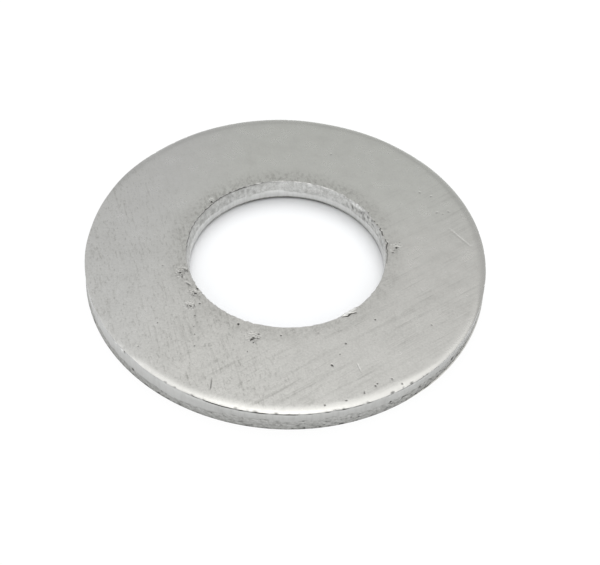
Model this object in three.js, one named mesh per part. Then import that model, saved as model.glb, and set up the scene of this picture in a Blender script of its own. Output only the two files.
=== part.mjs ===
// Flat washer: one ring blanked from stainless sheet, with the edges that blanking leaves.
// Millimetres, +Z up along the hole's axis, origin at the centre of the underside.
// Both punches struck from below, first the hole's and then the outline's. That rolls the
// hole's edge over at the underside and the outer edge over at the top face.

import * as THREE from 'three';

// Driving dimensions. The hole is measured at its narrowest, in the band that the punch polished.
const OUTER_DIAMETER = 27.0;
const HOLE_DIAMETER = 13.2;
const THICKNESS = 1.65;

// The outer edge, as shares of the thickness: rolled over, then polished, then torn
const OUTER_ROLL_WIDTH = 0.4 * THICKNESS;
const OUTER_ROLL_DEPTH = 0.09 * THICKNESS;
const OUTER_POLISHED_HEIGHT = 0.4 * THICKNESS;
const OUTER_TORN_TAPER = 0.02 * THICKNESS;

// The hole's wall from the underside up, in the same shares
const HOLE_ROLL_WIDTH = 0.15 * THICKNESS;
const HOLE_ROLL_DEPTH = 0.18 * THICKNESS;
const HOLE_POLISHED_HEIGHT = 0.28 * THICKNESS;
const HOLE_TORN_TAPER = 0.09 * THICKNESS;

const EDGE_BREAK = 0.02 * THICKNESS;

// Fineness of the curves
const SEGMENTS_ROUND_RING = 128;
const STEPS_ALONG_ROLL = 6;

const outerRadius = OUTER_DIAMETER / 2;
const holeRadius = HOLE_DIAMETER / 2;

/** Even steps from 0 to 1 along a rolled edge. */
function stepsAlongRoll() {
  return Array.from({ length: STEPS_ALONG_ROLL + 1 }, (_, i) => i / STEPS_ALONG_ROLL);
}

/** The outer edge, from the top face down. It drops away ever more steeply and stops at a crease. */
function outerEdge() {
  const rollStart = outerRadius - OUTER_ROLL_WIDTH;
  const creaseHeight = THICKNESS - OUTER_ROLL_DEPTH;
  const tornRadius = outerRadius - OUTER_TORN_TAPER;
  const points = stepsAlongRoll().map(
    (along) =>
      new THREE.Vector2(
        rollStart + OUTER_ROLL_WIDTH * along,
        THICKNESS - OUTER_ROLL_DEPTH * along * along,
      ),
  );
  points.push(new THREE.Vector2(outerRadius, creaseHeight - OUTER_POLISHED_HEIGHT));
  points.push(new THREE.Vector2(tornRadius, EDGE_BREAK));
  points.push(new THREE.Vector2(tornRadius - EDGE_BREAK, 0));
  return points;
}

/** The hole's wall, from the underside up. It starts with a quarter ellipse that meets the wall upright. */
function holeEdge() {
  const tornRadius = holeRadius + HOLE_TORN_TAPER;
  const points = stepsAlongRoll().map((along) => {
    const turn = (along * Math.PI) / 2;
    return new THREE.Vector2(
      holeRadius + HOLE_ROLL_WIDTH * (1 - Math.sin(turn)),
      HOLE_ROLL_DEPTH * (1 - Math.cos(turn)),
    );
  });
  points.push(new THREE.Vector2(holeRadius, HOLE_ROLL_DEPTH + HOLE_POLISHED_HEIGHT));
  points.push(new THREE.Vector2(tornRadius, THICKNESS - EDGE_BREAK));
  points.push(new THREE.Vector2(tornRadius + EDGE_BREAK, THICKNESS));
  return points;
}

/** The ring: its cross-section, closed on itself and turned about the hole's axis. */
function makeWasher() {
  const section = [...outerEdge(), ...holeEdge()].reverse();
  section.push(section[0].clone());
  const ring = new THREE.LatheGeometry(section, SEGMENTS_ROUND_RING);
  ring.rotateX(Math.PI / 2);
  const satinStainless = new THREE.MeshStandardMaterial({
    color: '#b9b9b5',
    roughness: 0.38,
    metalness: 1.0,
  });
  const washer = new THREE.Mesh(ring, satinStainless);
  washer.name = 'flat_washer';
  return washer;
}

const group = new THREE.Group();
group.name = 'flat_washer_part';
group.add(makeWasher());

export default group;
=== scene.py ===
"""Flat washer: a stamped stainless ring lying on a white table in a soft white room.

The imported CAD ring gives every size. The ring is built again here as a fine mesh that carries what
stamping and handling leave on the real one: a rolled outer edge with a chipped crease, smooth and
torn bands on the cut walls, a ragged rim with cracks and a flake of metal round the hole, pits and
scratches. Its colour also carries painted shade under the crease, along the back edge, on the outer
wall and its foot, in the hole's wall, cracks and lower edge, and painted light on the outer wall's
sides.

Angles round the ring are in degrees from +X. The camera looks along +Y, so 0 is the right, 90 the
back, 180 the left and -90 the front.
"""

import math
import random

import bmesh
import bpy
import numpy as np
from mathutils import Matrix, Vector, noise
from mathutils.kdtree import KDTree


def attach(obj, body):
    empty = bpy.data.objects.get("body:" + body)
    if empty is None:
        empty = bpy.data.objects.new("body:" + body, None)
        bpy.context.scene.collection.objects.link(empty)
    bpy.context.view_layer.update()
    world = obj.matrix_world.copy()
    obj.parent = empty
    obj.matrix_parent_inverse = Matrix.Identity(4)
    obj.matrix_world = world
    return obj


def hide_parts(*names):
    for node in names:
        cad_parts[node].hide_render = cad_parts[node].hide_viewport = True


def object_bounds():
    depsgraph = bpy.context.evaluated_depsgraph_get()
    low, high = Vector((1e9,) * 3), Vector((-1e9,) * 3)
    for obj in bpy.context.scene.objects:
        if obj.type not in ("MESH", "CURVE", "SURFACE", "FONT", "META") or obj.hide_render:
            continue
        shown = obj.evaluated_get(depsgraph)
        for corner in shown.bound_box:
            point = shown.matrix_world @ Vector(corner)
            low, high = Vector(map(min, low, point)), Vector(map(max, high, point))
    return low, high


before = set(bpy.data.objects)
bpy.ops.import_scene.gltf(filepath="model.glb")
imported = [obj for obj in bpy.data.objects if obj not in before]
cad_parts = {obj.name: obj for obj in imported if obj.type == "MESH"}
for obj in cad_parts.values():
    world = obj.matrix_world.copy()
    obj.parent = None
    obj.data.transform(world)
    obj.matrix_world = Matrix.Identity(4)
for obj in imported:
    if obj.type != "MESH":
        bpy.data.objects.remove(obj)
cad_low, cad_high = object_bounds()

MM = 0.001
MM_PER_METRE = 1000

# ---------------------------------------------------------------- sizes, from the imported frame
cad_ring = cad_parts["flat_washer"].data
cad_radii = [math.hypot(vertex.co.x, vertex.co.y) for vertex in cad_ring.vertices]
OUTER_RADIUS = max(cad_radii)
HOLE_RADIUS = min(cad_radii)
THICKNESS = cad_high.z - cad_low.z

# Shares of the thickness. The large ones are the CAD model's. The outer wall's foot stands out a little.
OUTER_ROLL_WIDTH = 0.4 * THICKNESS
OUTER_ROLL_DEPTH = 0.09 * THICKNESS
OUTER_SMOOTH_HEIGHT = 0.4 * THICKNESS
OUTER_FOOT_FLARE = 0.04 * THICKNESS
HOLE_ROLL_WIDTH = 0.15 * THICKNESS
HOLE_ROLL_DEPTH = 0.18 * THICKNESS
HOLE_SMOOTH_HEIGHT = 0.28 * THICKNESS
HOLE_TORN_TAPER = 0.09 * THICKNESS
EDGE_BREAK = 0.02 * THICKNESS
CORNER_BREAK = 0.01 * THICKNESS
CREASE_STEP = 0.10 * THICKNESS

ROLL_START = OUTER_RADIUS - OUTER_ROLL_WIDTH
CREASE_HEIGHT = THICKNESS - OUTER_ROLL_DEPTH
OUTER_TORN_TOP = CREASE_HEIGHT - OUTER_SMOOTH_HEIGHT
OUTER_FOOT_RADIUS = OUTER_RADIUS + OUTER_FOOT_FLARE
HOLE_TORN_BOTTOM = HOLE_ROLL_DEPTH + HOLE_SMOOTH_HEIGHT
HOLE_TORN_RADIUS = HOLE_RADIUS + HOLE_TORN_TAPER
RIM_RADIUS = HOLE_TORN_RADIUS + EDGE_BREAK

# ---------------------------------------------------------------- the ring as a plain fine mesh
# Points round the ring, on the outer edge and elsewhere
FINE = 1280
COARSE = FINE // 2
# The top face has closer rings of points up to this far from the hole's rim
NEAR_HOLE = 1.3 * MM
ROLL_SHARPNESS = 2.4

TOP, OUTER_ROLL, OUTER_SMOOTH, OUTER_TORN, CORNER, UNDER, HOLE_ROLL, HOLE_SMOOTH, HOLE_TORN, RIM = range(10)
STARTS_SHARPLY = (TOP, OUTER_SMOOTH, CORNER, UNDER, RIM)
UPPER_FACE = (TOP, OUTER_ROLL)
OUTER_WALL = (OUTER_SMOOTH, OUTER_TORN, CORNER)
HOLE_WALL = (HOLE_SMOOTH, HOLE_TORN, RIM)


def straight(start, end):
    """A straight run of the section between two (radius, height) points."""
    return lambda along: [a + (b - a) * along for a, b in zip(start, end)]


def outer_roll(along):
    """The outer edge, which drops away from the top face ever more steeply and ends at the crease."""
    return ROLL_START + OUTER_ROLL_WIDTH * along, THICKNESS - OUTER_ROLL_DEPTH * along**ROLL_SHARPNESS


def hole_roll(along):
    """The hole's lower edge: a quarter ellipse from the underside up to the hole's wall."""
    turn = along * math.pi / 2
    return HOLE_RADIUS + HOLE_ROLL_WIDTH * (1 - math.sin(turn)), HOLE_ROLL_DEPTH * (1 - math.cos(turn))


def section_stations():
    """The ring's section as (radius, height, zone, points round the ring), starting at the hole's rim."""
    near_hole = (RIM_RADIUS + NEAR_HOLE, THICKNESS)
    crease = (OUTER_RADIUS, CREASE_HEIGHT)
    under_crease = (OUTER_RADIUS, CREASE_HEIGHT - CREASE_STEP)
    outer_torn_head = (OUTER_RADIUS, OUTER_TORN_TOP)
    outer_torn_foot = (OUTER_FOOT_RADIUS, CORNER_BREAK)
    corner_foot = (OUTER_FOOT_RADIUS - CORNER_BREAK, 0)
    hole_torn_foot = (HOLE_RADIUS, HOLE_TORN_BOTTOM)
    hole_torn_head = (HOLE_TORN_RADIUS, THICKNESS - EDGE_BREAK)
    runs = (
        (TOP, 13, COARSE, straight((RIM_RADIUS, THICKNESS), near_hole)),
        (TOP, 20, COARSE, straight(near_hole, (ROLL_START, THICKNESS))),
        (OUTER_ROLL, 12, FINE, outer_roll),
        (OUTER_SMOOTH, 3, FINE, straight(crease, under_crease)),
        (OUTER_SMOOTH, 5, FINE, straight(under_crease, outer_torn_head)),
        (OUTER_TORN, 12, FINE, straight(outer_torn_head, outer_torn_foot)),
        (CORNER, 1, FINE, straight(outer_torn_foot, corner_foot)),
        (UNDER, 2, COARSE, straight(corner_foot, (HOLE_RADIUS + HOLE_ROLL_WIDTH, 0))),
        (HOLE_ROLL, 5, COARSE, hole_roll),
        (HOLE_SMOOTH, 5, COARSE, straight((HOLE_RADIUS, HOLE_ROLL_DEPTH), hole_torn_foot)),
        (HOLE_TORN, 11, COARSE, straight(hole_torn_foot, hole_torn_head)),
        (RIM, 2, COARSE, straight(hole_torn_head, (RIM_RADIUS, THICKNESS))),
    )
    stations = []
    for zone, steps, around, place in runs:
        for step in range(steps):
            radius, height = place(step / steps)
            stations.append((radius, height, zone, around))
    return stations


def bridge(bm, here, onward):
    """Faces between two neighbouring rings, of which one may have twice the points of the other."""
    count = min(len(here), len(onward))
    for i in range(count):
        j = (i + 1) % count
        if len(here) == len(onward):
            corners = (here[i], onward[i], onward[j], here[j])
        elif len(here) < len(onward):
            corners = (here[i], onward[2 * i], onward[2 * i + 1], onward[2 * j], here[j])
        else:
            corners = (here[2 * i], onward[i], onward[j], here[2 * j], here[2 * i + 1])
        bm.faces.new(corners)


def build_ring():
    """The plain ring as a bmesh whose vertices know their zone."""
    bm = bmesh.new()
    zone_layer = bm.verts.layers.int.new("zone")
    rings = []
    zone_before = RIM
    for radius, height, zone, around in section_stations():
        ring = []
        for i in range(around):
            angle = 2 * math.pi * i / around
            vertex = bm.verts.new((radius * math.cos(angle), radius * math.sin(angle), height))
            vertex[zone_layer] = zone
            ring.append(vertex)
        if zone != zone_before and zone in STARTS_SHARPLY:
            for i in range(around):
                bm.edges.new((ring[i - 1], ring[i])).smooth = False
        zone_before = zone
        rings.append(ring)
    for here, onward in zip(rings, rings[1:] + rings[:1]):
        bridge(bm, here, onward)
    for face in bm.faces:
        face.smooth = True
    return bm


# ---------------------------------------------------------------- marks that handling left
# Pits in the top face: angle, distance from the axis over the outer radius, width in mm and darkness.
# A wide one is a cluster.
PITS = (
    (-72.0, 0.755, 0.20, 0.85),
    (-63.0, 0.655, 0.14, 0.85),
    (-44.5, 0.615, 0.14, 0.85),
    (-91.0, 0.550, 0.14, 0.85),
    (-66.5, 0.950, 0.17, 0.85),
    (-57.0, 0.935, 0.17, 0.85),
    (-62.5, 0.935, 0.20, 0.85),
    (-61.5, 0.925, 0.13, 0.85),
    (-90.0, 0.940, 0.14, 0.85),
    (22.0, 0.830, 0.18, 0.45),
    (20.5, 0.855, 0.15, 0.45),
    (21.0, 0.890, 0.18, 0.45),
    (33.5, 0.825, 0.18, 0.45),
    (30.0, 0.860, 0.18, 0.45),
    (73.0, 0.755, 0.16, 0.45),
    (124.0, 0.940, 0.16, 0.85),
    (-145.0, 0.530, 0.24, 0.85),
    (-161.5, 0.545, 0.28, 0.85),
    (-139.5, 0.595, 0.22, 0.85),
    (-167.5, 0.620, 0.14, 0.45),
    (-137.5, 0.550, 0.14, 0.85),
    (-113.5, 0.535, 0.17, 0.85),
    (-103.5, 0.585, 0.26, 0.85),
    (140.5, 0.510, 0.22, 0.85),
    (5.0, 0.555, 0.22, 0.85),
    (1.5, 0.535, 0.17, 0.85),
    (-70.5, 0.940, 0.15, 0.85),
    (-72.0, 0.965, 0.15, 0.85),
    (-55.5, 0.980, 0.15, 0.85),
    (-78.0, 0.970, 0.15, 0.85),
    (-67.5, 0.705, 0.10, 0.85),
    (-47.0, 0.820, 0.10, 0.85),
    (-32.5, 0.840, 0.10, 0.85),
    (-123.0, 0.755, 0.10, 0.85),
    (-136.0, 0.935, 0.11, 0.85),
    (-140.0, 0.780, 0.11, 0.85),
    (-133.5, 0.615, 0.10, 0.85),
    (-129.5, 0.670, 0.09, 0.85),
    (-126.5, 0.700, 0.09, 0.85),
    (-116.0, 0.785, 0.09, 0.85),
    (-104.0, 0.675, 0.09, 0.85),
)
PIT_DEPTH_SHARE = 0.16
WIDE_PIT = 0.21
CRUMBS_IN_CLUSTER = 15
FAINT_SPECK_COUNT = 44

# Straight scratches: two ends, each an angle and a distance over the outer radius; then width and depth
# in mm, and how dark the scratch is. Below 0 it is bright.
SCRATCHES = (
    ((-111.5, 0.870), (-109.5, 0.960), 0.08, 0.03, 0.7),
    ((13.5, 0.850), (4.5, 0.935), 0.14, 0.012, -0.10),
    ((-63.5, 0.785), (-64.0, 0.835), 0.08, 0.02, -0.45),
    ((-133.5, 0.660), (-126.0, 0.720), 0.09, 0.02, 0.22),
    ((-154.0, 0.540), (-150.5, 0.525), 0.20, 0.02, 0.60),
    ((-164.0, 0.520), (-161.0, 0.515), 0.16, 0.02, 0.55),
)

# Larger knocks in the crease: angle, half width and depth in mm, and darkness per mm of depth. Below 0
# the knock is bright.
CREASE_CHIPS = [
    (-141.5, 0.12, 0.04, -16),
    (-138.5, 0.16, 0.05, -14),
    (-137.5, 0.14, 0.07, 13),
    (-122.0, 0.12, 0.05, 10),
    (-96.5, 0.20, 0.04, 8),
    (-91.0, 0.15, 0.04, 10),
    (-66.5, 0.12, 0.04, 6),
    (-59.0, 0.18, 0.06, 10),
    (-55.5, 0.10, 0.04, -12),
    (-47.5, 0.12, 0.04, 6),
    (-34.5, 0.14, 0.05, 8),
]
SMALL_CHIP_COUNT = 90
SMALL_CHIP_DARKNESS = 8

# Dark spots in the outer wall: angle, height over the thickness, and width in mm
WALL_SPOTS = (
    (-36.0, 0.33, 0.40),
    (-43.0, 0.78, 0.14),
    (-47.5, 0.87, 0.12),
    (-49.5, 0.30, 0.16),
    (-59.5, 0.40, 0.20),
    (-134.0, 0.30, 0.25),
)

# Cracks beside the hole's rim, darkened with painted shade. Each is a path of points with an angle, a
# distance from the rim in mm and a strength.
RIM_CRACKS = (
    ((-7.0, 0.07, 0.4), (2.0, 0.05, 0.6), (7.0, 0.08, 0.75), (9.0, 0.20, 0.9), (12.0, 0.04, 0.6)),
    ((14.5, 0.05, 0.7), (17.5, 0.04, 1.0), (20.5, 0.07, 1.0), (21.5, 0.13, 0.5)),
    ((23.5, 0.10, 0.7), (25.0, 0.07, 0.6)),
    ((26.5, 0.03, 0.7), (28.0, 0.06, 0.6)),
    ((34.5, 0.07, 0.6), (36.0, 0.06, 0.5)),
    ((-56.5, 0.06, 0.8), (-54.0, 0.15, 1.0), (-52.0, 0.17, 1.0), (-49.5, 0.22, 0.8), (-48.0, 0.24, 0.6)),
    ((-163.0, 0.05, 0.5), (-160.5, 0.05, 0.6)),
    ((-148.0, 0.06, 0.6), (-146.0, 0.06, 0.6)),
)
CRACK_WIDTH = 0.095 * MM
CRACK_DEPTH = 0.05 * MM
# Bright torn chips at the hole's rim: angle and half width in mm
BRIGHT_RIM_CHIPS = ((52.5, 0.10), (47.5, 0.04), (44.5, 0.06), (40.5, 0.06), (31.0, 0.12), (86.5, 0.05))
# The flake that sticks in over the hole
FLAKE_ANGLES = (-57.5, -44.5)
FLAKE_REACH = 0.17 * MM

# The top face is cut finer this far round its marks, in widths of the mark
WIDE_PIT_REACH = 1.8
SCRATCH_REACH = 1.2
# and this far round a circle that the cracks lie near, given over the outer radius
CRACK_REACH = 0.16 * MM
CRACK_SHARE = RIM_RADIUS / OUTER_RADIUS + 0.008
SCRATCH_STEPS = 8
FINER_CUTS = 3


def on_face(angle, share):
    """A point in the top face's plane, from an angle in degrees and a share of the outer radius."""
    turn = math.radians(angle)
    return Vector((math.cos(turn), math.sin(turn))) * share * OUTER_RADIUS


def arc(start, end, share):
    """Points about a degree apart along an arc on the top face."""
    count = max(1, round(abs(end - start)))
    return [on_face(start + (end - start) * i / count, share) for i in range(count + 1)]


def marked_spots():
    """Every place on the top face that has a mark, as (point, how far the mark reaches)."""
    spots = []
    for angle, share, width, _ in PITS:
        reach = WIDE_PIT_REACH if width >= WIDE_PIT else 1
        spots.append((on_face(angle, share), reach * width * MM))
    for start, end, width, _, _ in SCRATCHES:
        for i in range(SCRATCH_STEPS + 1):
            point = on_face(*start).lerp(on_face(*end), i / SCRATCH_STEPS)
            spots.append((point, SCRATCH_REACH * width * MM))
    for path in RIM_CRACKS:
        for point in arc(path[0][0], path[-1][0], CRACK_SHARE):
            spots.append((point, CRACK_REACH))
    return spots


def refine_top(bm):
    """Cut the top face finer round each mark, so that the mark has a real shape."""
    zone_layer = bm.verts.layers.int["zone"]
    spots = marked_spots()
    tree = KDTree(len(spots))
    for index, (point, _) in enumerate(spots):
        tree.insert(point.to_3d(), index)
    tree.balance()
    near = set()
    for vertex in bm.verts:
        if vertex[zone_layer] == TOP:
            _, index, distance = tree.find((vertex.co.x, vertex.co.y, 0))
            if distance < spots[index][1]:
                near.add(vertex)
    faces = {face for vertex in near for face in vertex.link_faces}
    faces = [face for face in faces if all(v[zone_layer] == TOP for v in face.verts)]
    edges = {edge for face in faces for edge in face.edges}
    bmesh.ops.subdivide_edges(bm, edges=list(edges), cuts=FINER_CUTS, use_grid_fill=True)


# ---------------------------------------------------------------- sculpting
RANDOM_SEED = 20
# The distance between the layers of noise that different seeds use
SEED_SPACING = 17.3
ROUND_NOISE_STEPS = 8192
# Places of the two materials in the washer's list
SHEET_LOOK, WALL_LOOK = 0, 1


def ease(low, high, value):
    """0 below low, 1 above high, and a smooth step between them."""
    share = np.clip((value - low) / (high - low), 0, 1)
    return share * share * (3 - 2 * share)


def bump(across):
    """1 where across is 0, falling along a parabola to 0 where it is 1 or more."""
    return np.clip(1 - across**2, 0, 1)


class Clay:
    """The ring's vertices in round coordinates, with how torn each is and how much dirt, painted shade and
    painted light it carries.
    """

    def __init__(self, bm):
        zone_layer = bm.verts.layers.int["zone"]
        places = np.array([vertex.co for vertex in bm.verts])
        self.radius = np.hypot(places[:, 0], places[:, 1])
        self.angle = np.arctan2(places[:, 1], places[:, 0])
        self.height = places[:, 2].copy()
        self.zone = np.array([vertex[zone_layer] for vertex in bm.verts])
        self.grime_and_shading = np.zeros(len(places))
        self.torn = np.zeros(len(places))

    def on(self, zones):
        """Whether each vertex belongs to one of the zones."""
        return np.isin(self.zone, zones)

    def lumps(self, where, around, upward, seed):
        """Smooth noise from about -1 to 1 at the chosen vertices, in lumps of the given sizes."""
        x = self.radius * np.cos(self.angle) / around
        y = self.radius * np.sin(self.angle) / around
        z = self.height / upward + SEED_SPACING * seed
        values = np.zeros(len(self.radius))
        for i in np.flatnonzero(where):
            values[i] = noise.noise((x[i], y[i], z[i]))
        return values

    def round_the_ring(self, radius, length, seed):
        """Noise that depends on the angle alone, in lumps of the given length at the given radius."""
        steps = ROUND_NOISE_STEPS
        turns = 2 * np.pi * np.arange(steps + 1) / steps
        x, y = np.cos(turns) * radius / length, np.sin(turns) * radius / length
        table = [noise.noise((x[i], y[i], SEED_SPACING * seed)) for i in range(steps + 1)]
        return np.interp(self.angle % (2 * np.pi), turns, table)

    def away(self, angle):
        """How far round the ring each vertex is from an angle in degrees, in radians."""
        return np.abs((self.angle - math.radians(angle) + np.pi) % (2 * np.pi) - np.pi)

    def between(self, start, end, fade):
        """1 between two angles in degrees, fading to 0 over some degrees inside both ends."""
        middle = (start + end) / 2
        half = math.radians(abs(end - start) / 2)
        return 1 - ease(half - math.radians(fade), half, self.away(middle))

    def write(self, bm):
        """Move the mesh's vertices to where the clay's are."""
        for i, vertex in enumerate(bm.verts):
            vertex.co.x = self.radius[i] * math.cos(self.angle[i])
            vertex.co.y = self.radius[i] * math.sin(self.angle[i])
            vertex.co.z = self.height[i]


def draw_crease_line(clay):
    """A thin step just under the crease, with a line of painted shade along it, clearest at the front."""
    line_depth = 0.02 * MM
    # How dark the line of painted shade along the step is
    line_shade = 0.72
    below = (CREASE_HEIGHT - clay.height) / (0.5 * CREASE_STEP)
    line = np.where(clay.zone == OUTER_SMOOTH, np.clip(1.5 * (1 - np.abs(below - 1)), 0, 1), 0)
    patchy = np.clip(0.95 + 1.4 * clay.round_the_ring(OUTER_RADIUS, 0.4 * MM, 19), 0.2, 1.3)
    at_front = 0.38 * clay.between(-119, -36, 10) + 0.28 * clay.between(-119, -64, 10)
    line *= patchy * (0.34 + at_front)
    clay.radius -= line_depth * line
    clay.grime_and_shading += line_shade * line


def vary_roll(clay):
    """The rolled edge is widest at the front and flattest at the sides. Its crease is uneven."""
    rolled = clay.zone == OUTER_ROLL
    along = np.where(rolled, np.clip((clay.radius - ROLL_START) / OUTER_ROLL_WIDTH, 0, 1), 0)
    down_wall = np.where(clay.zone == OUTER_SMOOTH, ease(OUTER_TORN_TOP, CREASE_HEIGHT, clay.height), 0)

    at_right = clay.between(-58, -10, 16)
    sharper = 2.8 * clay.between(-162, -100, 16) + 5.0 * at_right
    drop = along ** (ROLL_SHARPNESS + sharper)
    clay.height += OUTER_ROLL_DEPTH * (along**ROLL_SHARPNESS - drop)

    at_left = np.minimum(clay.between(-300, -128, 8), clay.between(-234, -80, 36))
    flatter = 0.92 * at_left + 0.35 * clay.between(-137, -104, 9)
    flatter += 0.60 * at_right + 0.25 * clay.between(40, 140, 25)
    slow = clay.round_the_ring(OUTER_RADIUS, 6 * MM, 1)
    quick = clay.round_the_ring(OUTER_RADIUS, 0.35 * MM, 2)
    nicked = (0.02 + 0.08 * clay.between(-150, -15, 15)) * np.maximum(quick, 0)
    clay.height -= (drop + down_wall) * OUTER_ROLL_DEPTH * (0.16 * slow + nicked - flatter)
    wander = 0.09 * MM
    clay.radius -= np.where(rolled, (1 - along) * wander * slow, 0)

    out_of_round = 0.07 * MM
    bulge = clay.between(-60, -10, 20) - clay.between(38, 94, 18) - 0.8 * clay.between(148, 184, 12)
    clay.radius += out_of_round * (along + down_wall) * bulge


def shade_back_edge(clay):
    """Painted shade: the face darkens towards the outer edge at the back and the right."""
    towards_edge = ease(0.88 * OUTER_RADIUS, OUTER_RADIUS, clay.radius)
    clay.grime_and_shading += np.where(clay.on(UPPER_FACE), 0.15 * towards_edge * clay.between(-5, 150, 30), 0)


def nibble_crease(clay, to_crease):
    """Fine unevenness along the crease, patchy and strongest at the front."""
    depth = 0.05 * MM
    grime_and_shading = 0.8
    by_crease = bump(to_crease / (0.09 * MM)) * (clay.height > OUTER_TORN_TOP)
    nibbles = np.maximum(clay.round_the_ring(OUTER_RADIUS, 0.17 * MM, 20) - 0.2, 0)
    nibbles *= np.maximum(0.4 + 1.4 * clay.round_the_ring(OUTER_RADIUS, 1.5 * MM, 21), 0)
    nibbles *= by_crease * (0.3 + 0.7 * clay.between(-165, 0, 15))
    clay.height -= depth * nibbles
    clay.radius -= depth * nibbles
    clay.grime_and_shading += grime_and_shading * nibbles


def small_chips(draw):
    """Random small knocks, as (angle, half width in mm, depth in mm, darkness per mm of depth)."""
    chips = []
    for _ in range(SMALL_CHIP_COUNT):
        place = (draw.uniform(-180, 180), draw.uniform(0.05, 0.14), draw.uniform(0.01, 0.05))
        chips.append((*place, SMALL_CHIP_DARKNESS))
    return chips


def chip_crease(clay, draw):
    """Small knocks along the crease, shallower at the back. Some are dark and a few are bright."""
    to_crease = np.hypot(OUTER_RADIUS - clay.radius, CREASE_HEIGHT - clay.height)
    nibble_crease(clay, to_crease)
    near = np.flatnonzero((to_crease < 0.35 * MM) & (clay.height > OUTER_TORN_TOP))
    for angle, width, depth, darkness in small_chips(draw) + CREASE_CHIPS:
        if angle > 0:
            depth *= 0.4
        round_ring = clay.away(angle)[near] * OUTER_RADIUS / (width * MM)
        across = to_crease[near] / (0.04 * MM + 1.2 * depth * MM)
        dent = bump(round_ring) * bump(across)
        clay.radius[near] -= dent * depth * MM
        clay.height[near] -= dent * 0.8 * depth * MM
        clay.grime_and_shading[near] += darkness * depth * dent


def tear_outer_wall(clay):
    """The lower half of the outer wall broke off instead of being cut: dashes and specks run round it."""
    wall = clay.on(OUTER_WALL)
    slow = 0.16 * MM * clay.round_the_ring(OUTER_RADIUS, 3.5 * MM, 3)
    quick = 0.08 * MM * clay.round_the_ring(OUTER_RADIUS, 0.5 * MM, 4)
    lower = 0.28 * MM * clay.between(-165, -100, 12)
    torn = np.where(wall, ease(0, 0.10 * MM, OUTER_TORN_TOP + slow + quick - lower - clay.height), 0)
    dashes = np.maximum(clay.lumps(wall, 0.34 * MM, 0.10 * MM, 5) - 0.1, 0)
    specks = np.maximum(clay.lumps(wall, 0.16 * MM, 0.13 * MM, 6), 0)
    drag = clay.lumps(wall, 0.16 * MM, 2 * MM, 7)

    off_foot = ease(0, 0.25 * MM, clay.height)
    tear_depth = (0.006 + 0.09 * dashes + 0.05 * specks) * (0.15 + 0.85 * off_foot) * MM
    drag_depth = 0.003 * MM * (1 + drag)
    tucked_in = 0.09 * MM * clay.between(-62, 40, 20) * (1 - ease(0, OUTER_TORN_TOP, clay.height))
    clay.radius -= np.where(wall, torn * tear_depth + (1 - torn) * drag_depth + tucked_in, 0)
    clay.torn += torn

    tear_grime = (0.55 + 0.45 * clay.between(-88, -20, 14)) * (1.4 * dashes + specks - 0.20)
    # Painted shade darkens the wall's foot, where it meets the floor.
    foot_shade = (0.15 + 0.28 * clay.between(-165, -62, 12)) * (1 - ease(0, 0.21 * MM, clay.height))
    # Painted light brightens the smooth band at the left front and the right front.
    painted_light_at_sides = 0.20 * (clay.between(-160, -106, 12) + clay.between(-66, -20, 14))
    clay.grime_and_shading += np.where(wall, torn * tear_grime + foot_shade - (1 - torn) * painted_light_at_sides, 0)


def spot_outer_wall(clay):
    """Dark spots where larger crumbs broke out of the outer wall."""
    depth = 0.05 * MM
    grime_and_shading = 1.5
    wall = clay.on(OUTER_WALL)
    for angle, level, width in WALL_SPOTS:
        aside = clay.away(angle) * OUTER_RADIUS
        upward = clay.height - level * THICKNESS
        dent = np.where(wall, bump(np.hypot(aside, upward) / (0.5 * width * MM)), 0)
        clay.radius -= depth * dent
        clay.grime_and_shading += grime_and_shading * dent


def tear_hole_wall(clay):
    """The upper part of the hole's wall is torn into blotches; the band below it is smooth."""
    wall = clay.on(HOLE_WALL)
    slow = 0.13 * MM * clay.round_the_ring(HOLE_RADIUS, 2.2 * MM, 8)
    quick = 0.06 * MM * clay.round_the_ring(HOLE_RADIUS, 0.3 * MM, 9)
    edge = HOLE_TORN_BOTTOM + slow + quick
    torn = np.where(wall, ease(0, 0.08 * MM, clay.height - edge), 0)
    streaks = clay.lumps(wall, 0.17 * MM, 1.6 * MM, 10)
    mottle = clay.lumps(wall, 0.28 * MM, 0.34 * MM, 11)
    steps = clay.lumps(wall, 1.1 * MM, 0.35 * MM, 12)
    clay.radius += torn * (0.010 * streaks + 0.045 * mottle + 0.04 * np.maximum(steps, 0)) * MM
    clay.torn += torn
    soil_and_shade_torn_hole(clay, wall, torn, mottle, steps)
    soil_and_shade_smooth_hole(clay, wall, torn, edge)


def soil_and_shade_torn_hole(clay, wall, torn, mottle, steps):
    """Dirt in the torn band, in blotches and crumbs, painted shade at the back left, and bright chips near
    the rim.
    """
    near_rim = ease(HOLE_TORN_BOTTOM, THICKNESS, clay.height)
    bright = np.clip(2.2 * steps - 0.35, 0, 1) * (0.4 + 0.6 * near_rim)
    below_rim = (THICKNESS - 0.12 * MM - clay.height) / (0.25 * MM)
    for angle, width in BRIGHT_RIM_CHIPS:
        round_ring = clay.away(angle) * HOLE_RADIUS / (width * MM)
        chip = np.where(wall, np.clip(1.1 - round_ring**2 - below_rim**2, 0, 1), 0)
        bright += chip * (0.5 + mottle)
    bright *= 0.5 * clay.between(10, 112, 15)
    blotches = 0.28 * np.clip(2.0 * mottle, -0.5, 1) * (0.55 + 0.6 * clay.between(8, 58, 15))
    crumbs = 0.55 * clay.lumps(wall, 0.12 * MM, 0.24 * MM, 26) * clay.between(10, 62, 12)
    # Slight dullness all round, and painted shade at the back left
    dullness_and_left_shade = 0.06 + 0.16 * clay.between(98, 200, 20)
    dull_foot = 0.30 * (1 - near_rim) * clay.between(8, 46, 8)
    clay.grime_and_shading += torn * (blotches + crumbs + dullness_and_left_shade + dull_foot - bright)


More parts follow.
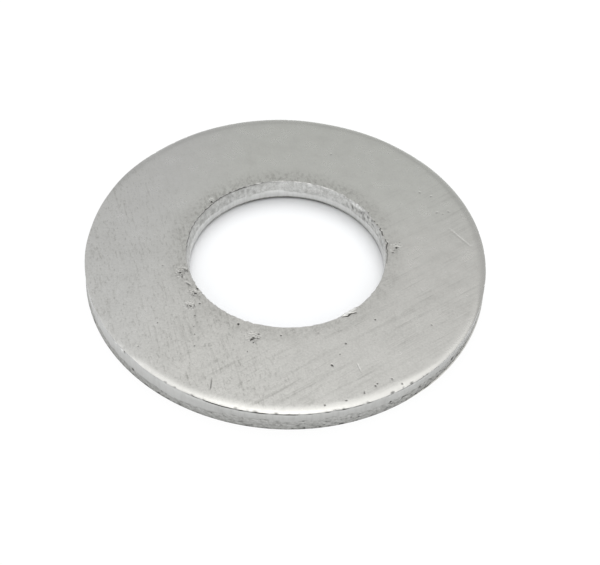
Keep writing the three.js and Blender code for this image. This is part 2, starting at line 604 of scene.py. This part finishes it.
def soil_and_shade_smooth_hole(clay, wall, torn, edge):
    """The smooth band is bright at the back, under a dull seam, and the rolled edge below it is dark with
    painted shade.
    """
    seam = np.where(wall, np.clip(1 - np.abs(clay.height - edge - 0.10 * MM) / (0.12 * MM), 0, 1), 0)
    off_roll = ease(HOLE_ROLL_DEPTH, HOLE_ROLL_DEPTH + 0.1 * MM, clay.height)
    polished = np.where(wall, (1 - torn) * off_roll, 0)
    clay.grime_and_shading += (0.14 * seam - 0.25 * polished) * clay.between(12, 104, 18)
    # Painted shade on the rolled lower edge, where it meets the floor, deepest at the back
    clay.grime_and_shading += np.where(clay.zone == HOLE_ROLL, 0.28 + 0.3 * clay.between(50, 130, 20), 0)


def shift_lower_hole(clay):
    """The smooth band sits a little off the axis: the punch and the die were not quite in line."""
    wider = 0.045 * MM
    off_axis = 0.075 * MM
    wall_share = 1 - ease(HOLE_TORN_BOTTOM, THICKNESS - EDGE_BREAK, clay.height)
    under_share = 1 - ease(HOLE_RADIUS + HOLE_ROLL_WIDTH, HOLE_RADIUS + 3 * MM, clay.radius)
    shifted = clay.on((UNDER, HOLE_ROLL, HOLE_SMOOTH, HOLE_TORN))
    share = np.where(shifted, np.minimum(wall_share, under_share), 0)
    clay.radius += share * (wider + off_axis * np.cos(clay.angle))


def crack_rim(clay):
    """Jagged cracks beside the hole's rim, darkened with painted shade, of which one is the root of the
    flake.
    """
    wander = 0.06 * clay.round_the_ring(RIM_RADIUS, 0.30 * MM, 17)
    turn = np.degrees(clay.angle)
    for path in RIM_CRACKS:
        angles, offsets, strengths = zip(*path)
        crack_radius = RIM_RADIUS + (np.interp(turn, angles, offsets) + wander) * MM
        strength = np.interp(turn, angles, strengths, left=0, right=0)
        across = np.abs(clay.radius - crack_radius) / (CRACK_WIDTH / 2)
        groove = np.where(clay.zone == TOP, strength * bump(across), 0)
        clay.height -= CRACK_DEPTH * groove
        # Painted shade in the crack's groove
        clay.grime_and_shading += groove


def shade_rim(clay):
    """A thin patchy line of painted shade along the hole's rim at the back left."""
    line = 1 - ease(0, 0.10 * MM, np.abs(THICKNESS - EDGE_BREAK - clay.height))
    line = np.where(clay.on((RIM, HOLE_TORN)), line, 0)
    patchy = 0.40 + 0.5 * clay.round_the_ring(RIM_RADIUS, 0.8 * MM, 18)
    clay.grime_and_shading += line * np.clip(patchy, 0, 0.6) * clay.between(88, 196, 14)


def fray_rim(clay):
    """The hole's upper rim is ragged, most of all at the right, and a flake of metal sticks in over it."""
    near = clay.on((TOP, RIM, HOLE_TORN))
    off_rim = np.where(clay.zone == TOP, clay.radius - RIM_RADIUS, 1.5 * (THICKNESS - clay.height))
    slow = clay.round_the_ring(RIM_RADIUS, 1.3 * MM, 13)
    quick = clay.round_the_ring(RIM_RADIUS, 0.22 * MM, 14)
    at_right = 0.05 * clay.between(-12, 62, 12) + 0.04 * clay.between(8, 62, 8)
    at_left = 0.03 * clay.between(100, 265, 12)
    ragged = (0.022 + at_right + at_left) * (0.6 * slow + quick) * MM
    uneven = 0.8 + 0.45 * clay.round_the_ring(RIM_RADIUS, 0.45 * MM, 15)
    flake = clay.between(*FLAKE_ANGLES, 3.5) * uneven
    by_rim = np.where(near, 1 - ease(0, 0.28 * MM, off_rim), 0)
    clay.radius += by_rim * (ragged - FLAKE_REACH * flake)

    on_flake = 1 - ease(0.08 * MM, 0.16 * MM, off_rim)
    clay.grime_and_shading -= near * on_flake * np.clip(flake, 0, 1)
    nicks = 0.5 * np.clip(2.5 * quick - 0.3, 0, 1) * clay.between(2, 70, 14)
    clay.grime_and_shading += np.where(clay.zone == TOP, 1 - ease(0, 0.2 * MM, off_rim), 0) * nicks
    patchy = 1 + 2 * clay.round_the_ring(RIM_RADIUS, 1.2 * MM, 25)
    ticks = 0.20 * clay.round_the_ring(RIM_RADIUS, 0.13 * MM, 24) * patchy * clay.between(-112, -42, 14)
    clay.grime_and_shading += np.where(clay.zone == TOP, 1 - ease(0.3 * MM, 1.1 * MM, off_rim), 0) * ticks


def cluster(draw, angle, share, width, darkness):
    """A wide pit: its core, a faint halo, and dark and bright crumbs scattered round it."""
    pits = [(angle, share, 0.6 * width, darkness), (angle, share, 3.0 * width, 0.16)]
    degrees_per_mm = math.degrees(MM / (share * OUTER_RADIUS))
    for _ in range(CRUMBS_IN_CLUSTER):
        aside = draw.gauss(0, width) * degrees_per_mm
        outward = draw.gauss(0, width) * MM / OUTER_RADIUS
        crumb = draw.choice((-0.5, 0.35, 0.5, 0.7))
        pits.append((angle + aside, share + outward, draw.uniform(0.06, 0.13), crumb))
    return pits


def list_pits(draw):
    """Every pit as (angle, share, width, darkness): the known ones, and faint specks near the hole."""
    pits = []
    for angle, share, width, darkness in PITS:
        if width >= WIDE_PIT:
            pits += cluster(draw, angle, share, width, darkness)
        else:
            pits.append((angle, share, width, darkness))
    for _ in range(FAINT_SPECK_COUNT):
        place = (draw.uniform(-180, 180), 0.51 + 0.10 * draw.random() ** 1.5, draw.uniform(0.10, 0.17))
        pits.append((*place, draw.uniform(0.1, 0.4)))
    return pits


def dent_top(clay, draw):
    """Pits with uneven outlines. Most are dark, and a few crumbs are bright."""
    lump = 0.09 * MM
    x = clay.radius * np.cos(clay.angle)
    y = clay.radius * np.sin(clay.angle)
    top = np.flatnonzero(clay.on(UPPER_FACE))
    for angle, share, width, darkness in list_pits(draw):
        centre = on_face(angle, share)
        across = np.hypot(x[top] - centre.x, y[top] - centre.y) / (0.5 * width * MM)
        near = top[across < 1.6]
        across = across[across < 1.6]
        uneven = np.array([noise.noise((x[i] / lump, y[i] / lump, share)) for i in near])
        dent = bump(across * (1 + 0.7 * uneven))
        clay.height[near] -= dent * darkness * PIT_DEPTH_SHARE * width * MM
        clay.grime_and_shading[near] += darkness * np.sqrt(dent)


def scratch_top(clay):
    """Straight grooves, deepest in the middle. A dark one has grime in it, and a bright one is bare."""
    x = clay.radius * np.cos(clay.angle)
    y = clay.radius * np.sin(clay.angle)
    for start, end, width, depth, darkness in SCRATCHES:
        a, b = on_face(*start), on_face(*end)
        run = b - a
        along = np.clip(((x - a.x) * run.x + (y - a.y) * run.y) / run.length_squared, 0, 1)
        distance = np.hypot(x - a.x - along * run.x, y - a.y - along * run.y)
        groove = bump(distance / (0.5 * width * MM)) * (clay.zone == TOP)
        groove = groove * (1 - 0.7 * (2 * along - 1) ** 2)
        clay.height -= groove * depth * MM
        clay.grime_and_shading += groove * darkness


def sculpt(clay):
    """Give the plain ring everything that stamping and handling leave on a real one, and its painted shade
    and light.
    """
    draw = random.Random(RANDOM_SEED)
    draw_crease_line(clay)
    vary_roll(clay)
    shade_back_edge(clay)
    chip_crease(clay, draw)
    tear_outer_wall(clay)
    spot_outer_wall(clay)
    tear_hole_wall(clay)
    shift_lower_hole(clay)
    crack_rim(clay)
    shade_rim(clay)
    fray_rim(clay)
    dent_top(clay, draw)
    scratch_top(clay)


def choose_looks(bm):
    """The sheet's own surface and its rolled edges have one look, and the cut walls have the other."""
    zone_layer = bm.verts.layers.int["zone"]
    for face in bm.faces:
        zones = {vertex[zone_layer] for vertex in face.verts}
        on_sheet = zones == {TOP} or zones & {OUTER_ROLL, UNDER, HOLE_ROLL}
        face.material_index = SHEET_LOOK if on_sheet else WALL_LOOK


def build_washer():
    """The sculpted washer, whose mesh carries, for its materials, how torn the metal is and its dirt with
    painted shade and light.
    """
    bm = build_ring()
    refine_top(bm)
    clay = Clay(bm)
    sculpt(clay)
    clay.write(bm)
    choose_looks(bm)
    mesh = bpy.data.meshes.new("flat_washer_visual")
    bm.to_mesh(mesh)
    bm.free()
    for name, values in (("grime_and_shading", np.clip(clay.grime_and_shading, -1, 1)), ("torn", np.clip(clay.torn, 0, 1))):
        mesh.attributes.new(name, "FLOAT", "POINT").data.foreach_set("value", values.astype(np.float32))
    washer = bpy.data.objects.new("washer_ring", mesh)
    bpy.context.scene.collection.objects.link(washer)
    return washer


# ---------------------------------------------------------------- materials
class Look:
    """A material in the making, with short calls for the kinds of node that the looks here use."""

    def __init__(self, name):
        self.material = bpy.data.materials.new(name)
        self.material.use_nodes = True
        self.tree = self.material.node_tree
        self.shader = self.tree.nodes["Principled BSDF"]
        coordinates = self.tree.nodes.new("ShaderNodeTexCoord").outputs["Object"]
        self.place = self.vector("SCALE", coordinates, scale=MM_PER_METRE)

    def feed(self, socket, value):
        """Give a socket a value, which is another node's output or a number or colour."""
        if isinstance(value, bpy.types.NodeSocket):
            self.tree.links.new(value, socket)
        else:
            socket.default_value = value

    def vector(self, operation, first, second=None, scale=None, output="Vector"):
        node = self.tree.nodes.new("ShaderNodeVectorMath")
        node.operation = operation
        self.feed(node.inputs[0], first)
        if second is not None:
            self.feed(node.inputs[1], second)
        if scale is not None:
            self.feed(node.inputs["Scale"], scale)
        return node.outputs[output]

    def math(self, operation, first, second, clamp=False):
        node = self.tree.nodes.new("ShaderNodeMath")
        node.operation = operation
        node.use_clamp = clamp
        self.feed(node.inputs[0], first)
        self.feed(node.inputs[1], second)
        return node.outputs[0]

    def times(self, first, *others):
        """The product of several values."""
        for other in others:
            first = self.math("MULTIPLY", first, other)
        return first

    def total(self, *parts):
        """The sum of (value, weight) pairs."""
        result = 0.0
        for value, weight in parts:
            result = self.math("ADD", self.math("MULTIPLY", value, weight), result)
        return result

    def ease(self, value, low, high, start=0.0, end=1.0):
        """start below low, end above high, and a smooth step between them."""
        node = self.tree.nodes.new("ShaderNodeMapRange")
        node.interpolation_type = "SMOOTHSTEP"
        for socket, number in zip(node.inputs, (value, low, high, start, end)):
            self.feed(socket, number)
        return node.outputs["Result"]

    def noise(self, sizes, turn=0.0, detail=2.0, roughness=0.5):
        """Noise in lumps of the given sizes in mm, turned about the washer's axis."""
        mapping = self.tree.nodes.new("ShaderNodeMapping")
        mapping.vector_type = "TEXTURE"
        self.feed(mapping.inputs["Vector"], self.place)
        mapping.inputs["Rotation"].default_value = (0, 0, math.radians(turn))
        mapping.inputs["Scale"].default_value = sizes
        texture = self.tree.nodes.new("ShaderNodeTexNoise")
        self.feed(texture.inputs["Vector"], mapping.outputs["Vector"])
        texture.inputs["Scale"].default_value = 1.0
        texture.inputs["Detail"].default_value = detail
        texture.inputs["Roughness"].default_value = roughness
        return texture.outputs[0]

    def attribute(self, name):
        """One of the mesh's own values: the one for dirt with painted shade and light, and the one for torn
        metal.
        """
        node = self.tree.nodes.new("ShaderNodeAttribute")
        node.attribute_name = name
        return node.outputs["Fac"]

    def towards(self, angle):
        """How far each point lies from the axis towards an angle, in mm."""
        turn = math.radians(angle)
        return self.vector("DOT_PRODUCT", self.place, (math.cos(turn), math.sin(turn), 0), output="Value")

    def from_axis(self):
        """How far each point lies from the washer's axis, in mm."""
        flat = self.vector("MULTIPLY", self.place, (1, 1, 0))
        return self.vector("LENGTH", flat, output="Value")

    def mix_value(self, share, first, second):
        node = self.tree.nodes.new("ShaderNodeMix")
        self.feed(node.inputs["Factor"], share)
        self.feed(node.inputs["A"], first)
        self.feed(node.inputs["B"], second)
        return node.outputs["Result"]

    def mix_colour(self, share, first, second):
        node = self.tree.nodes.new("ShaderNodeMix")
        node.data_type = "RGBA"
        self.feed(node.inputs["Factor"], share)
        self.feed(node.inputs["A"], first)
        self.feed(node.inputs["B"], second)
        return node.outputs["Result"]

    def finish(self, colour, roughness, relief, relief_height):
        """Bare metal with the given colour, roughness and relief, the relief's height in mm."""
        bump_map = self.tree.nodes.new("ShaderNodeBump")
        bump_map.inputs["Strength"].default_value = 1.0
        bump_map.inputs["Distance"].default_value = relief_height * MM
        self.feed(bump_map.inputs["Height"], relief)
        self.feed(self.shader.inputs["Base Color"], colour)
        self.feed(self.shader.inputs["Roughness"], roughness)
        self.feed(self.shader.inputs["Normal"], bump_map.outputs["Normal"])
        self.shader.inputs["Metallic"].default_value = 1.0
        return self.material


BARE_STEEL = (0.651, 0.658, 0.622, 1)
WARM_STEEL = (0.661, 0.655, 0.626, 1)
NEUTRAL_STEEL = (0.652, 0.652, 0.636, 1)
# The outer wall's steel is a darker copy of the hole wall's: painted shade for the shadowed floor that it
# mirrors.
SHADED_OUTER_WALL_STEEL = (0.610, 0.608, 0.590, 1)
HOLE_WALL_STEEL = (0.72, 0.72, 0.705, 1)
DULL_STEEL = (0.365, 0.362, 0.340, 1)
FRESH_STEEL_AND_PAINTED_LIGHT = (0.88, 0.88, 0.86, 1)
GRIME_AND_SHADE_COLOUR = (0.045, 0.043, 0.040, 1)

FACE_ROUGHNESS = 0.27
FACE_RELIEF = 0.0022
WALL_ROUGHNESS = 0.26
WALL_RELIEF = 0.012
# Taken off the face's dullness, so that the cleanest patches are fully bare
CLEAN_BELOW = 0.17


def apply_grime_and_shading(look, colour):
    """Darken a colour with dirt and painted shade where the mesh's value is above 0, and lighten it to bare
    metal, and with painted light, below 0.
    """
    grime_and_shading = look.attribute("grime_and_shading")
    colour = look.mix_colour(look.ease(grime_and_shading, 0.0, -0.8), colour, FRESH_STEEL_AND_PAINTED_LIGHT)
    return look.mix_colour(look.ease(grime_and_shading, 0.0, 1.0), colour, GRIME_AND_SHADE_COLOUR)


def hairlines_at_right(look, broken):
    """Broad and fine hairlines, nearly parallel, at the right and the right front."""
    broad = look.ease(look.noise((9.0, 0.34, 1.0), turn=35), 0.50, 0.72)
    fine = look.ease(look.noise((3.0, 0.10, 1.0), turn=37), 0.52, 0.75)
    lines = look.total((broad, 0.5), (fine, 0.55))
    at_right = look.ease(look.towards(-42), -3.0, 6.0)
    return look.times(lines, at_right, look.ease(broken, 0, 1, 0.45, 1.15))


def hairlines_at_left(look, broken, at_left):
    """Short fine hairlines that run to and fro at the left."""
    lines = look.ease(look.noise((4.0, 0.16, 1.0), turn=-73, detail=3, roughness=0.6), 0.50, 0.74)
    return look.times(lines, broken, at_left)


def band_by_hole(look):
    """A band round the hole that fades outwards, and is strongest at the back."""
    rim = RIM_RADIUS * MM_PER_METRE
    band = look.ease(look.from_axis(), rim + 0.2, rim + 1.6, 1.0, 0.0)
    return look.times(band, look.ease(look.towards(-70), -8.0, 4.0, 1.15, 0.62))


def soft_clouds(look):
    """Soft light and dark clouds at the right and the back, from -0.5 to 0.5."""
    clouds = look.math("SUBTRACT", look.noise((0.9, 0.9, 0.9), detail=1), 0.5)
    return look.times(clouds, look.ease(look.towards(60), -2.0, 6.0))


def clean_colour(look):
    """The face's clean steel: a little greener at the back and more neutral at the left."""
    colour = look.mix_colour(look.ease(look.towards(-80), -6.0, 3.0), BARE_STEEL, WARM_STEEL)
    return look.mix_colour(look.ease(look.towards(170), 3.0, 11.0), colour, NEUTRAL_STEEL)


def on_bright_roll(look):
    """1 on the rolled edge, which is rubbed clean, except at the far left."""
    edge = OUTER_RADIUS * MM_PER_METRE
    rolled = look.ease(look.from_axis(), edge - 0.7, edge - 0.1)
    return look.times(rolled, look.ease(look.towards(170), 6.5, 9.5, 1.0, 0.0))


def make_rolled_face():
    """The sheet's own surface: a satin rolling finish, hairlines from handling and smudges at the hole."""
    look = Look("satin_rolled_face")
    at_left = look.ease(look.towards(-150), 1.5, 8.5)
    at_front = look.ease(look.towards(-100), -5.0, 6.0)
    grain = look.ease(look.noise((0.14, 0.14, 0.14), roughness=0.7), 0.28, 0.72)
    visible_grain = look.times(grain, look.ease(at_front, 0, 1, 0.35, 1.0))
    flecks = look.ease(look.noise((0.32, 0.15, 0.3), turn=-76, detail=3, roughness=0.65), 0.50, 0.74)
    flecks = look.times(flecks, look.ease(at_left, 0, 1, 0.25, 1.0))
    clouds = look.noise((1.6, 1.6, 1.6), detail=4, roughness=0.6)
    broken = look.ease(look.noise((1.8, 1.8, 1.8)), 0.40, 0.60)
    hairs_right = hairlines_at_right(look, broken)
    hairs_left = hairlines_at_left(look, broken, at_left)
    by_hole = band_by_hole(look)
    smudges = look.ease(look.noise((0.24, 0.42, 0.28), turn=12, detail=3, roughness=0.65), 0.42, 0.68)
    smudges = look.times(look.total((smudges, 0.8), (clouds, 0.3)), by_hole)
    dullness = look.total(
        (visible_grain, 0.24),
        (flecks, 0.50),
        (clouds, 0.46),
        (soft_clouds(look), 0.26),
        (hairs_right, 0.38),
        (hairs_left, 0.36),
        (smudges, 0.60),
        (by_hole, 0.10),
    )
    dullness = look.math("SUBTRACT", dullness, CLEAN_BELOW, clamp=True)
    dullness = look.times(dullness, look.ease(on_bright_roll(look), 0, 1, 1.0, 0.25))
    colour = apply_grime_and_shading(look, look.mix_colour(dullness, clean_colour(look), DULL_STEEL))
    roughness = look.math("ADD", look.times(dullness, 0.12), FACE_ROUGHNESS)
    relief = look.total(
        (grain, -0.8),
        (flecks, -0.7),
        (hairs_right, -0.9),
        (hairs_left, -0.8),
        (smudges, -0.7),
    )
    return look.finish(colour, roughness, relief, FACE_RELIEF)


def make_cut_wall():
    """The cut walls: drag lines where the punch polished them, and a coarse grey tear elsewhere."""
    look = Look("cut_and_torn_wall")
    torn = look.attribute("torn")
    middle = (OUTER_RADIUS + HOLE_RADIUS) / 2 * MM_PER_METRE
    in_hole = look.ease(look.from_axis(), middle - 0.1, middle + 0.1, 1.0, 0.0)
    upright = look.noise((0.20, 0.20, 2.2), detail=3, roughness=0.6)
    level = look.noise((0.32, 0.32, 0.11), detail=3, roughness=0.6)
    speckle = look.noise((0.11, 0.11, 0.11), detail=3, roughness=0.7)
    blotches = look.noise((0.30, 0.30, 0.34), detail=4, roughness=0.65)
    streaks = look.mix_value(in_hole, level, look.total((upright, 0.35), (blotches, 0.65)))
    torn_dullness = look.ease(look.total((streaks, 0.9), (speckle, 0.6)), 0.50, 1.0, 0.0, 0.75)
    smooth_dullness = look.ease(upright, 0.4, 0.7, 0.0, 0.24)
    dullness = look.mix_value(torn, smooth_dullness, torn_dullness)
    # The outer wall takes the darker copy of the wall steel, as painted shade.
    clean = look.mix_colour(in_hole, SHADED_OUTER_WALL_STEEL, HOLE_WALL_STEEL)
    colour = apply_grime_and_shading(look, look.mix_colour(dullness, clean, DULL_STEEL))
    roughness = look.math("ADD", look.total((torn, 0.18), (speckle, 0.08)), WALL_ROUGHNESS)
    relief = look.total((streaks, 0.6), (speckle, 0.5))
    relief = look.times(relief, look.ease(torn, 0, 1, 0.12, 1.0))
    return look.finish(colour, roughness, relief, WALL_RELIEF)


# ---------------------------------------------------------------- stage
FLOOR_SIZE = 60 * OUTER_RADIUS
FLOOR_CORNERS = 64
HOLE_PATCH_RADIUS = 0.8 * OUTER_RADIUS
FLOOR_PAINT = (0.690, 0.697, 0.706, 1)
FLOOR_ROUGHNESS = 0.9
FLOOR_GLOW = 1.03
# How much of the floor's shading the camera sees, from 0, none, to 1, all
SHADING_SEEN_IN_HOLE = 1.0
SHADING_SEEN_AROUND = 0.1


def floor_paint(name, shading_seen):
    """White paint whose glow, which only the camera sees, covers the rest of its shading."""
    material = bpy.data.materials.new(name)
    material.use_nodes = True
    tree = material.node_tree
    paint = tree.nodes["Principled BSDF"]
    paint.inputs["Base Color"].default_value = FLOOR_PAINT
    paint.inputs["Roughness"].default_value = FLOOR_ROUGHNESS
    paint.inputs["Specular IOR Level"].default_value = 0.0
    glow = tree.nodes.new("ShaderNodeEmission")
    glow.inputs["Strength"].default_value = FLOOR_GLOW
    light_path = tree.nodes.new("ShaderNodeLightPath")
    share = tree.nodes.new("ShaderNodeMath")
    share.operation = "MULTIPLY"
    share.inputs[1].default_value = 1 - shading_seen
    mix = tree.nodes.new("ShaderNodeMixShader")
    tree.links.new(light_path.outputs["Is Camera Ray"], share.inputs[0])
    tree.links.new(share.outputs[0], mix.inputs["Fac"])
    tree.links.new(paint.outputs["BSDF"], mix.inputs[1])
    tree.links.new(glow.outputs["Emission"], mix.inputs[2])
    tree.links.new(mix.outputs["Shader"], tree.nodes["Material Output"].inputs["Surface"])
    return material


def make_floor():
    """A white light table. Its glow hides the washer's shadow, except on the patch inside the hole."""
    bm = bmesh.new()
    patch = []
    border = []
    for i in range(FLOOR_CORNERS):
        turn = 2 * math.pi * i / FLOOR_CORNERS
        direction = Vector((math.cos(turn), math.sin(turn), 0))
        patch.append(bm.verts.new(direction * HOLE_PATCH_RADIUS))
        border.append(bm.verts.new(direction * FLOOR_SIZE))
    bm.faces.new(patch).material_index = 0
    for i in range(FLOOR_CORNERS):
        bm.faces.new((patch[i - 1], border[i - 1], border[i], patch[i])).material_index = 1
    floor_mesh = bpy.data.meshes.new("floor")
    bm.to_mesh(floor_mesh)
    bm.free()
    floor_mesh.materials.append(floor_paint("table_in_hole", SHADING_SEEN_IN_HOLE))
    floor_mesh.materials.append(floor_paint("table_around", SHADING_SEEN_AROUND))
    floor = bpy.data.objects.new("floor", floor_mesh)
    bpy.context.scene.collection.objects.link(floor)


# The room's brightness by height in degrees, up to its brightest point, which leans from straight up
ROOM_LIGHT = (
    (0, 0.64),
    (13, 0.60),
    (26, 0.53),
    (33, 0.64),
    (39, 1.06),
    (47, 1.28),
    (59, 1.28),
    (69, 1.45),
    (90, 1.95),
)
ROOM_LEAN = -14


def make_world():
    """A white light tent, brightest overhead. The camera itself sees plain white."""
    world = bpy.data.worlds.new("white_room")
    bpy.context.scene.world = world
    world.use_nodes = True
    nodes, links = world.node_tree.nodes, world.node_tree.links
    background = nodes["Background"]
    direction = nodes.new("ShaderNodeTexCoord")
    height = nodes.new("ShaderNodeVectorMath")
    height.operation = "DOT_PRODUCT"
    lean = math.radians(ROOM_LEAN)
    height.inputs[1].default_value = (0, math.sin(lean), math.cos(lean))
    ramp = nodes.new("ShaderNodeValToRGB")
    links.new(direction.outputs["Generated"], height.inputs[0])
    links.new(height.outputs["Value"], ramp.inputs["Fac"])
    brightest = max(brightness for _, brightness in ROOM_LIGHT)
    stops = ramp.color_ramp.elements
    first_stops = len(stops)
    for index, (elevation, brightness) in enumerate(ROOM_LIGHT):
        place = math.sin(math.radians(elevation))
        stop = stops[index] if index < first_stops else stops.new(place)
        stop.position = place
        level = brightness / brightest
        stop.color = (level, level, level, 1)
    light_path = nodes.new("ShaderNodeLightPath")
    mix = nodes.new("ShaderNodeMix")
    mix.data_type = "RGBA"
    links.new(light_path.outputs["Is Camera Ray"], mix.inputs["Factor"])
    links.new(ramp.outputs["Color"], mix.inputs["A"])
    mix.inputs["B"].default_value = (1, 1, 1, 1)
    links.new(mix.outputs["Result"], background.inputs["Color"])
    background.inputs["Strength"].default_value = brightest


KEY_DISTANCE = 25 * OUTER_RADIUS
KEY_HALF_ANGLE = 22
KEY_LEAN = 34
# A surface that faces the key is lit as strongly by it as by an even white sky of this brightness
KEY_BRIGHTNESS = 0.55


def make_key():
    """A soft key light from above and behind. The metal doesn't mirror it."""
    light = bpy.data.lights.new("key", "AREA")
    light.shape = "DISK"
    radius = KEY_DISTANCE * math.tan(math.radians(KEY_HALF_ANGLE))
    light.size = 2 * radius
    share_of_sky = math.sin(math.radians(KEY_HALF_ANGLE)) ** 2
    light.energy = KEY_BRIGHTNESS / share_of_sky * math.pi * math.pi * radius**2
    key = bpy.data.objects.new("key", light)
    lean = math.radians(KEY_LEAN)
    key.location = (0, KEY_DISTANCE * math.sin(lean), KEY_DISTANCE * math.cos(lean))
    key.rotation_euler = (-lean, 0, 0)
    key.visible_glossy = False
    bpy.context.scene.collection.objects.link(key)


CAMERA_DISTANCE = 6.5 * OUTER_RADIUS
CAMERA_ELEVATION = 47.5
CAMERA_LENS = 76.8
SENSOR_WIDTH = 36
# The camera is turned a little from the washer's middle
CAMERA_PAN = -0.667
CAMERA_TILT = -0.671
CAMERA_ROLL = 2.21


def place_camera():
    """Just under 90 mm away and looking down at about 47 degrees."""
    data = bpy.data.cameras.new("camera")
    data.sensor_width = SENSOR_WIDTH
    data.lens = CAMERA_LENS
    data.clip_start = 0.1 * OUTER_RADIUS
    data.clip_end = 200 * OUTER_RADIUS
    camera = bpy.data.objects.new("camera", data)
    bpy.context.scene.collection.objects.link(camera)
    bpy.context.scene.camera = camera
    elevation = math.radians(CAMERA_ELEVATION)
    back = CAMERA_DISTANCE * math.cos(elevation)
    place = Matrix.Translation((0, -back, CAMERA_DISTANCE * math.sin(elevation)))
    aim = Matrix.Rotation(math.pi / 2 - elevation, 4, "X")
    pan = Matrix.Rotation(math.radians(CAMERA_PAN), 4, "Y")
    tilt = Matrix.Rotation(math.radians(CAMERA_TILT), 4, "X")
    roll = Matrix.Rotation(math.radians(CAMERA_ROLL), 4, "Z")
    camera.matrix_world = place @ aim @ pan @ tilt @ roll


# ---------------------------------------------------------------- the scene
place_camera()
washer = build_washer()
washer.data.materials.append(make_rolled_face())
washer.data.materials.append(make_cut_wall())
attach(washer, "root")
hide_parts("flat_washer")
make_floor()
make_world()
make_key()
bpy.context.scene.view_settings.view_transform = "Standard"
